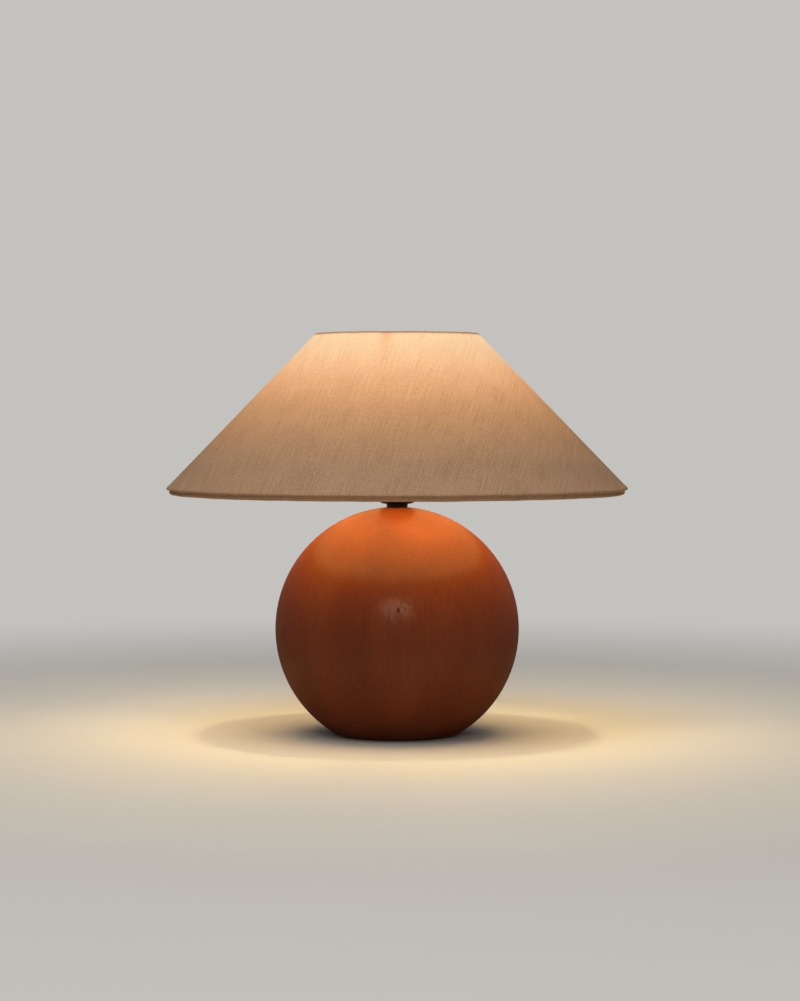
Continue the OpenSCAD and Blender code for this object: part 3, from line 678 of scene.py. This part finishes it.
def makeShadeSeam(look, shade, material):
    half, thick = look["seamWidth"] / 2, look["seamThickness"]
    across = [(u * half, lift * thick) for u, lift in look["seamOutline"]]
    slant = np.linspace(shade["wire"], shade["length"] - shade["wire"], look["seamSteps"])
    made = bmesh.new()
    flat = made.loops.layers.uv.new("flatCloth")
    glow = made.verts.layers.float.new("bulbGlow")
    light = look["seamGlow"] * shadeGlow(look, shade, slant, np.array([math.pi / 2]))[0]
    rows = []
    for s, lit in zip(slant, light):
        row = []
        for u, lift in across:
            r, z = shade["low"] + s * shade["up"] + (shade["depth"] + lift) * shade["out"]
            azimuth = math.pi / 2 + u / r
            vertex = made.verts.new((r * math.cos(azimuth), r * math.sin(azimuth), z))
            vertex[glow] = lit
            row.append((vertex, (u + look["seamCloth"], s)))
        rows.append(row)
    cells = [(a[k], a[(k + 1) % len(a)], b[(k + 1) % len(a)], b[k]) for a, b in zip(rows, rows[1:])
             for k in range(len(a))]
    for cell in cells + [tuple(rows[0]), tuple(rows[-1])]:
        face = made.faces.new([vertex for vertex, _ in cell])
        for corner, (_, place) in zip(face.loops, cell):
            corner[flat].uv = place
    bmesh.ops.recalc_face_normals(made, faces=made.faces)
    mesh = bpy.data.meshes.new("shadeSeam")
    made.to_mesh(mesh)
    made.free()
    smoothFaces(mesh, look["sharpFrom"])
    return addPiece(mesh, material, "shade", "linen")


# Plain weave: threads pass over and under each other in turn, and wander a little
def plainWeave(tree, cloth, stray, look):
    across = addNode(tree, "ShaderNodeSeparateXYZ", {0: cloth}).outputs
    perThread = math.pi / look["threadPitch"]
    wander = calc(tree, "MULTIPLY", calc(tree, "SUBTRACT", stray, 0.5), 2 * math.pi * look["yarnWander"])
    warpTurn = calc(tree, "ADD", calc(tree, "MULTIPLY", across["X"], perThread), wander)
    weftTurn = calc(tree, "SUBTRACT", calc(tree, "MULTIPLY", across["Y"], perThread), wander)
    warpWave = calc(tree, "SINE", warpTurn)
    weftWave = calc(tree, "SINE", weftTurn)
    over = remap(tree, calc(tree, "MULTIPLY", warpWave, weftWave), *look["crossing"])
    under = calc(tree, "SUBTRACT", 1.0, over)
    warpRise = calc(tree, "MULTIPLY", calc(tree, "ABSOLUTE", warpWave), over)
    weftRise = calc(tree, "MULTIPLY", calc(tree, "ABSOLUTE", weftWave), under)
    return calc(tree, "ADD", warpRise, weftRise)


# Every yarn has its own tone, and its own share of the painted glow of the bulb's light
def linenFinish(name, look):
    material, tree, shader = newFinish(name)
    cloth = addNode(tree, "ShaderNodeUVMap", uv_map="flatCloth").outputs[0]
    parts = noiseParts(tree, cloth, look["noises"])
    parts["slub"] = remap(tree, parts["slub"], *look["slubSpan"])
    parts["weave"] = plainWeave(tree, cloth, parts["stray"], look)
    threads = weighted(tree, parts, look["threadShares"])
    span = look["threadSpan"]
    tone = threeTones(tree, threads, span, look["darkThread"], look["tone"], look["paleThread"])
    tone = blendTones(tree, calc(tree, "MULTIPLY", parts["slub"], look["slubDepth"]), tone, look["slubTone"])
    tree.links.new(tone, shader.inputs["Base Color"])
    tree.links.new(remap(tree, threads, *noiseSpan, *look["roughness"]), shader.inputs["Roughness"])
    glow = addNode(tree, "ShaderNodeAttribute", attribute_name="bulbGlow").outputs["Fac"]
    thin = remap(tree, threads, span[0], span[2], *look["thinness"])
    thin = calc(tree, "SUBTRACT", thin, calc(tree, "MULTIPLY", parts["slub"], look["slubStops"]))
    lit = calc(tree, "MULTIPLY", glow, calc(tree, "MULTIPLY", thin, look["glowShare"]))
    ramp = addNode(tree, "ShaderNodeValToRGB", {"Fac": lit})
    setRamp(ramp.color_ramp, look["glowTones"])
    tree.links.new(ramp.outputs["Color"], shader.inputs["Emission Color"])
    shader.inputs["Emission Strength"].default_value = 1.0
    shader.inputs["Specular IOR Level"].default_value = look["specular"]
    shader.inputs["Sheen Weight"].default_value = look["sheen"]
    shader.inputs["Sheen Roughness"].default_value = look["sheenRoughness"]
    shader.inputs["Sheen Tint"].default_value = (*look["paleThread"], 1.0)
    height = weighted(tree, parts, look["heightShares"])
    roughen(tree, shader, height, look["weaveDepth"], look["weaveStrength"])
    return material


def setRamp(ramp, stops):
    ramp.elements[0].position, ramp.elements[1].position = stops[0][0], stops[-1][0]
    for position, _ in stops[1:-1]:
        ramp.elements.new(position)
    for element, (_, tone) in zip(ramp.elements, stops):
        element.color = (*tone, 1.0)


# Opal bulb: glows evenly. Point lights inside stand for what passes through the glass: a weak one
# for all that is in the shade, which would burn out in a stronger one, and one for what is below.
# A disc above the holder stands for what the liner throws down on the ball
opalBulb = {
    "tones": ((0.86, 0.78, 0.64), (0.93, 0.87, 0.76)),
    "cloud": 60,
    "roughness": (0.22, 0.34),
    "bump": 0.02 * mm,
    "lightTone": (1.0, 0.80, 0.36),
    "linerTone": (1.0, 0.62, 0.20),
    "glow": (1.0, 0.74, 0.42),
    "glowStrength": 0.42,
    "glowLeast": 0.86,  # of the glow, in the glass's dimmer clouds
    "lightRadius": 10 * mm,
    "power": 2.1,
    "insidePower": 0.45,
    "linerLightRadius": 190 * mm,
    "linerLightHeight": 258 * mm,
    "linerPower": 1.75,
    "inside": ("bulb_glass", "bulb_stem", "bulb_leads", "bulb_filaments"),
    "below": ("ball", "lampholder_cap", "cord_bushing"),
}


def opalFinish(name, look):
    material, tree, shader = newFinish(name)
    cloud = stretchedNoise(tree, objectPlace(tree), [look["cloud"]] * 3, detail=3.0)
    tree.links.new(blendTones(tree, cloud, *look["tones"]), shader.inputs["Base Color"])
    tree.links.new(remap(tree, cloud, *wideSpan, *look["roughness"]), shader.inputs["Roughness"])
    dimmer = tuple(look["glowLeast"] * channel for channel in look["glow"])
    tree.links.new(blendTones(tree, cloud, dimmer, look["glow"]), shader.inputs["Emission Color"])
    shader.inputs["Emission Strength"].default_value = look["glowStrength"]
    roughen(tree, shader, cloud, look["bump"])
    return material


def addBulbLight(name, kind, look, power, height):
    light = bpy.data.lights.new(name, kind)
    light.color = look["linerTone"] if kind == "AREA" else look["lightTone"]
    light.energy = power
    lamp = bpy.data.objects.new(name, light)
    lamp.location = (0, 0, height)
    lamp.visible_camera = False
    lamp.visible_glossy = kind == "AREA"  # the ball shines with the liner, not with one point
    bpy.context.collection.objects.link(lamp)
    return lamp


def lightBulb(look, shade):
    insideLight = addBulbLight("insideLight", "POINT", look, look["insidePower"], shade["bulb"])
    belowLight = addBulbLight("belowLight", "POINT", look, look["power"], shade["bulb"])
    for lamp in (insideLight, belowLight):
        lamp.data.shadow_soft_size = look["lightRadius"]
    litBelow = bpy.data.collections.new("litBelow")
    for node in look["below"]:
        litBelow.objects.link(frame["nodes"][node])
    litBelow.objects.link(bpy.data.objects["studioFloor"])
    belowLight.light_linking.receiver_collection = litBelow
    linerLight = addBulbLight("linerLight", "AREA", look, look["linerPower"], look["linerLightHeight"])
    linerLight.data.shape = "DISK"
    linerLight.data.size = 2 * look["linerLightRadius"]
    for node in look["inside"]:
        frame["nodes"][node].visible_shadow = False  # opal glass lets its own light out


# Wire spider: three bent spokes from the fitter ring up to the top ring
wireSpider = {
    "spokes": 3,
    "front": 270,  # degrees, where -Y lies
    "turn": 7.0,  # degrees of the first spoke from the front towards the left
    "wire": 3.0 * mm,
    "run": 6.0 * mm,  # level, before the bend
    "weld": 1.0 * mm,  # that an end sinks into its ring
    "bend": 9.0 * mm,
    "bendSteps": 10,
    "wireSteps": 20,
}


def makeSpider(look, shade, material):
    ringLow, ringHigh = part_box("fitter_ring")
    level = (ringLow.z + ringHigh.z) / 2
    corner = np.array((ringHigh.x + look["run"], level))
    top = shade["low"] + shade["length"] * shade["up"]
    lean = (top - corner) / np.linalg.norm(top - corner)
    end = top - (shade["wire"] - look["weld"]) * lean
    path = [(ringHigh.x - look["weld"], 0, level), (corner[0], 0, corner[1]), (end[0], 0, end[1])]
    start = bpy.data.meshes.new("spokePath")
    start.from_pydata(path, [(0, 1), (1, 2)], [])
    sizes = {"Spokes": look["spokes"], "First": spokeAngles(look)[0], "Wire": look["wire"] / 2,
             "Bend": look["bend"], "Bend Steps": look["bendSteps"], "Wire Steps": look["wireSteps"],
             "Material": material}
    tree, given = sizeTree("wireSpider", sizes)
    line = addNode(tree, "GeometryNodeMeshToCurve", {"Mesh": given["Geometry"]}).outputs[0]
    rounding = {"Curve": line, "Count": given["Bend Steps"], "Radius": given["Bend"]}
    bent = addNode(tree, "GeometryNodeFilletCurve", rounding, mode="POLY").outputs[0]
    wire = {"Resolution": given["Wire Steps"], "Radius": given["Wire"]}
    section = addNode(tree, "GeometryNodeCurvePrimitiveCircle", wire).outputs[0]
    drawn = {"Curve": bent, "Profile Curve": section, "Fill Caps": True}
    spoke = addNode(tree, "GeometryNodeCurveToMesh", drawn).outputs[0]
    places = addNode(tree, "GeometryNodePoints", {"Count": given["Spokes"]}).outputs[0]
    index = addNode(tree, "GeometryNodeInputIndex").outputs[0]
    step = calc(tree, "DIVIDE", 2 * math.pi, given["Spokes"])
    angle = calc(tree, "ADD", calc(tree, "MULTIPLY", index, step), given["First"])
    swing = addNode(tree, "ShaderNodeCombineXYZ", {"Z": angle}).outputs[0]
    turn = addNode(tree, "FunctionNodeEulerToRotation", {"Euler": swing}).outputs[0]
    around = {"Points": places, "Instance": spoke, "Rotation": turn}
    spokes = addNode(tree, "GeometryNodeInstanceOnPoints", around).outputs[0]
    mesh = grownMesh(tree, given, spokes, start, sizes)
    addPiece(mesh, material, "shade", "white_wire", "spider_spokes")


# Screw threads: a ridge that climbs round each threaded barrel
screwThreads = {
    "barrelThread": {"node": "lampholder_shell", "body": "base", "radius": 19.5 * mm, "ridge": 0.42 * mm,
                     "sunk": 0.20 * mm, "pitch": 2.2 * mm, "from": 263.2 * mm, "to": 288.9 * mm},
    "capThread": {"node": "bulb_cap", "body": "bulb", "radius": 13.1 * mm, "ridge": 0.75 * mm,
                  "sunk": 0.50 * mm, "pitch": 3.62 * mm, "from": 274.6 * mm, "to": 289.6 * mm},
    "tubeThread": {"node": "threaded_tube", "body": "base", "radius": 5.0 * mm, "ridge": 0.30 * mm,
                   "sunk": 0.12 * mm, "pitch": 1.0 * mm, "from": 20.3 * mm, "to": 23.4 * mm},
}
threadSteps = {"turn": 72, "ridge": 10}


def makeThread(name, look, material, slot):
    start = bpy.data.meshes.new("threadStart")
    sizes = {"Radius": look["radius"] - look["sunk"], "Ridge": look["ridge"], "Pitch": look["pitch"],
             "Base": look["from"], "Height": look["to"] - look["from"], "Material": material}
    tree, given = sizeTree(name, sizes)
    turns = calc(tree, "DIVIDE", given["Height"], given["Pitch"])
    helix = {"Resolution": threadSteps["turn"], "Rotations": turns, "Reverse": True,
             "Start Radius": given["Radius"], "End Radius": given["Radius"], "Height": given["Height"]}
    coil = addNode(tree, "GeometryNodeCurveSpiral", helix).outputs[0]
    lift = addNode(tree, "ShaderNodeCombineXYZ", {"Z": given["Base"]}).outputs[0]
    raised = addNode(tree, "GeometryNodeTransform", {"Geometry": coil, "Translation": lift}).outputs[0]
    ridge = {"Resolution": threadSteps["ridge"], "Radius": given["Ridge"]}
    section = addNode(tree, "GeometryNodeCurvePrimitiveCircle", ridge).outputs[0]
    drawn = {"Curve": raised, "Profile Curve": section, "Fill Caps": True}
    wound = addNode(tree, "GeometryNodeCurveToMesh", drawn)
    mesh = grownMesh(tree, given, wound.outputs[0], start, sizes)
    addPiece(mesh, material, look["body"], slot)


# Felt pad under the foot
feltPad = {
    "steps": 120,
    "edge": 0.6 * mm,
    "edgeSteps": 5,
    "innerRing": 0.5,  # of the radius
    "tones": ((0.013, 0.020, 0.016), (0.036, 0.050, 0.041)),
    "fibres": 900,
    "cloud": 120,
    "roughness": (0.88, 1.0),
    "sheen": 0.25,
    "bump": 0.4 * mm,
}


def feltFinish(name, look):
    material, tree, shader = newFinish(name)
    place = objectPlace(tree)
    fibres = stretchedNoise(tree, place, [look["fibres"]] * 3, detail=4.0)
    cloud = stretchedNoise(tree, place, [look["cloud"]] * 3, detail=3.0, shift=(2, 4, 6))
    share = middleOf(tree, fibres, cloud)
    tone = blendTones(tree, remap(tree, share, *noiseSpan), *look["tones"])
    tree.links.new(tone, shader.inputs["Base Color"])
    tree.links.new(remap(tree, fibres, *wideSpan, *look["roughness"]), shader.inputs["Roughness"])
    shader.inputs["Sheen Weight"].default_value = look["sheen"]
    roughen(tree, shader, share, look["bump"])
    return material


def makeFeltPad(look, material):
    low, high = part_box("felt_pad")
    edge = look["edge"]
    inner = look["innerRing"] * high.x
    outline = [(0, low.z), (inner, low.z)]
    outline += arcPoints((high.x - edge, low.z + edge), edge, -90, 0, look["edgeSteps"])
    outline += arcPoints((high.x - edge, high.z - edge), edge, 0, 90, look["edgeSteps"])
    outline += [(inner, high.z), (0, high.z)]
    piece = addPiece(turnedMesh("feltPad", outline, look["steps"]), material, "base", "felt", "felt_pad")


makeCamera(photoCamera)
makeFloor(studio)
makeSoftboxes(studio)
makeSky(studio)
print("camera and studio ready")

finishes = {name: plainFinish(name, look) for name, look in plainFinishes.items()}
finishes["lacquered_wood"] = woodFinish("lacqueredWood", lacqueredWood)
finishes["opal_glass"] = opalFinish("opalGlass", opalBulb)
finishes["felt"] = feltFinish("pressedFelt", feltPad)
finishes["linen"] = linenFinish("slubLinen", linenShade)
for part in frame["record"]["subparts"]:
    cadMesh = frame["nodes"][part["node"]].data
    cadMesh.materials.clear()
    cadMesh.materials.append(finishes[part["material_slot"]])
print("finishes on", len(frame["nodes"]), "nodes")

shade = shadeFrame(linenShade)
shadeCover, flatSize, flatArea = makeShadeCover(linenShade, shade, finishes["linen"])
shadeSeam = makeShadeSeam(linenShade, shade, finishes["linen"])
print("linen shade:", len(shadeCover.data.polygons), "faces")

makeSpider(wireSpider, shade, finishes["white_wire"])
slots = {part["node"]: part["material_slot"] for part in frame["record"]["subparts"]}
for threadName, thread in screwThreads.items():
    makeThread(threadName, thread, finishes[slots[thread["node"]]], slots[thread["node"]])
print("wire spider and", len(screwThreads), "screw threads ready")

makeFeltPad(feltPad, finishes["felt"])
lightBulb(opalBulb, shade)
print("felt pad and bulb ready")
